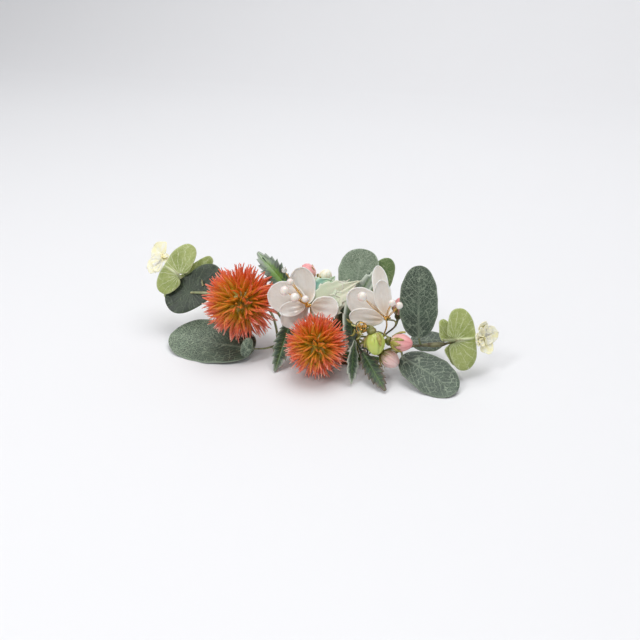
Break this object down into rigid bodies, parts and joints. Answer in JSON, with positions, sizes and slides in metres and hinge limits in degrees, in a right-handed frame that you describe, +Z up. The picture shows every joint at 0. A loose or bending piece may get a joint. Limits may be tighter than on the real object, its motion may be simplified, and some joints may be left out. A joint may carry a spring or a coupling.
{
  "type": "flower hair spray comb",
  "caption": "Straight half-crown hair spray of artificial eucalyptus, spiky seed balls, pearl flowers and buds, wired to a flat side comb.",
  "frame": {"origin": "on the flat underside of the side comb, at the root of its middle tooth", "axes": "+X along the spray towards its right end, +Y towards the comb's tooth tips (back), +Z up from the comb's flat underside"},
  "size_m": [0.2367, 0.0753, 0.0671],
  "materials": {
    "dark_leaf": "printed polyester leaf",
    "light_leaf": "printed polyester leaf",
    "cream_leaf": "thin cream polyester leaf",
    "rose_leaf": "printed polyester leaf with pale teeth",
    "plastic_stem": "moulded olive plastic",
    "ball": "soft moulded plastic spikes",
    "shell_petal": "cloudy pearl-white resin",
    "pearl": "imitation pearl",
    "gold_wire": "fine gold-coloured wire",
    "silk": "thin dyed cloth",
    "pink_bud": "soft pink plastic",
    "green_bud": "soft green plastic",
    "cream_bud": "soft cream plastic",
    "tape": "waxed paper stem tape",
    "steel_wire": "soft iron wire",
    "comb_plastic": "moulded amber plastic"
  },
  "bodies": {
    "root": {"left_floor_leaf": "dark_leaf", "left_low_leaf": "dark_leaf", "left_dark_pair": "dark_leaf", "right_upright_leaf": "dark_leaf", "right_rear_leaf": "dark_leaf", "right_floor_leaf": "dark_leaf", "back_round_leaf": "dark_leaf", "left_rear_pair": "light_leaf", "left_light_pair": "light_leaf", "right_light_pair": "light_leaf", "right_wide_pair": "light_leaf", "back_light_leaf": "light_leaf", "left_tip_whorl": "cream_leaf", "right_tip_whorl": "cream_leaf", "rose_leaf_back_left": "rose_leaf", "rose_leaf_hanging": "rose_leaf", "rose_leaf_front_a": "rose_leaf", "rose_leaf_front_b": "rose_leaf", "rose_leaf_back_right": "rose_leaf", "rose_leaf_middle": "rose_leaf", "left_stem": "plastic_stem", "right_stem": "plastic_stem", "back_stem": "plastic_stem", "left_ball_stem": "plastic_stem", "front_ball_stem": "plastic_stem", "back_bud_twig": "plastic_stem", "rear_bud_twig": "plastic_stem", "front_bud_twig": "plastic_stem", "left_ball": "ball", "front_ball": "ball", "left_petal_big": "shell_petal", "left_petal_top": "shell_petal", "left_petal_small": "shell_petal", "left_petal_low": "shell_petal", "left_petal_right": "shell_petal", "right_petal_big": "shell_petal", "right_petal_up": "shell_petal", "right_petal_low": "shell_petal", "right_petal_back": "shell_petal", "left_pearl_1": "pearl", "left_pearl_2": "pearl", "left_pearl_3": "pearl", "left_pearl_4": "pearl", "left_pearl_5": "pearl", "right_pearl_1": "pearl", "right_pearl_2": "pearl", "right_pearl_3": "pearl", "left_flower_wires": "gold_wire", "right_flower_wires": "gold_wire", "silk_blossom": "silk", "bud_back_pink": "pink_bud", "bud_rear_pink": "pink_bud", "bud_front_pink": "pink_bud", "bud_front_pale": "pink_bud", "bud_green": "green_bud", "bud_back_cream": "cream_bud", "stem_tape": "tape", "spine_wire": "steel_wire", "comb_lashing": "steel_wire", "hair_comb": "comb_plastic"}
  },
  "joints": []
}
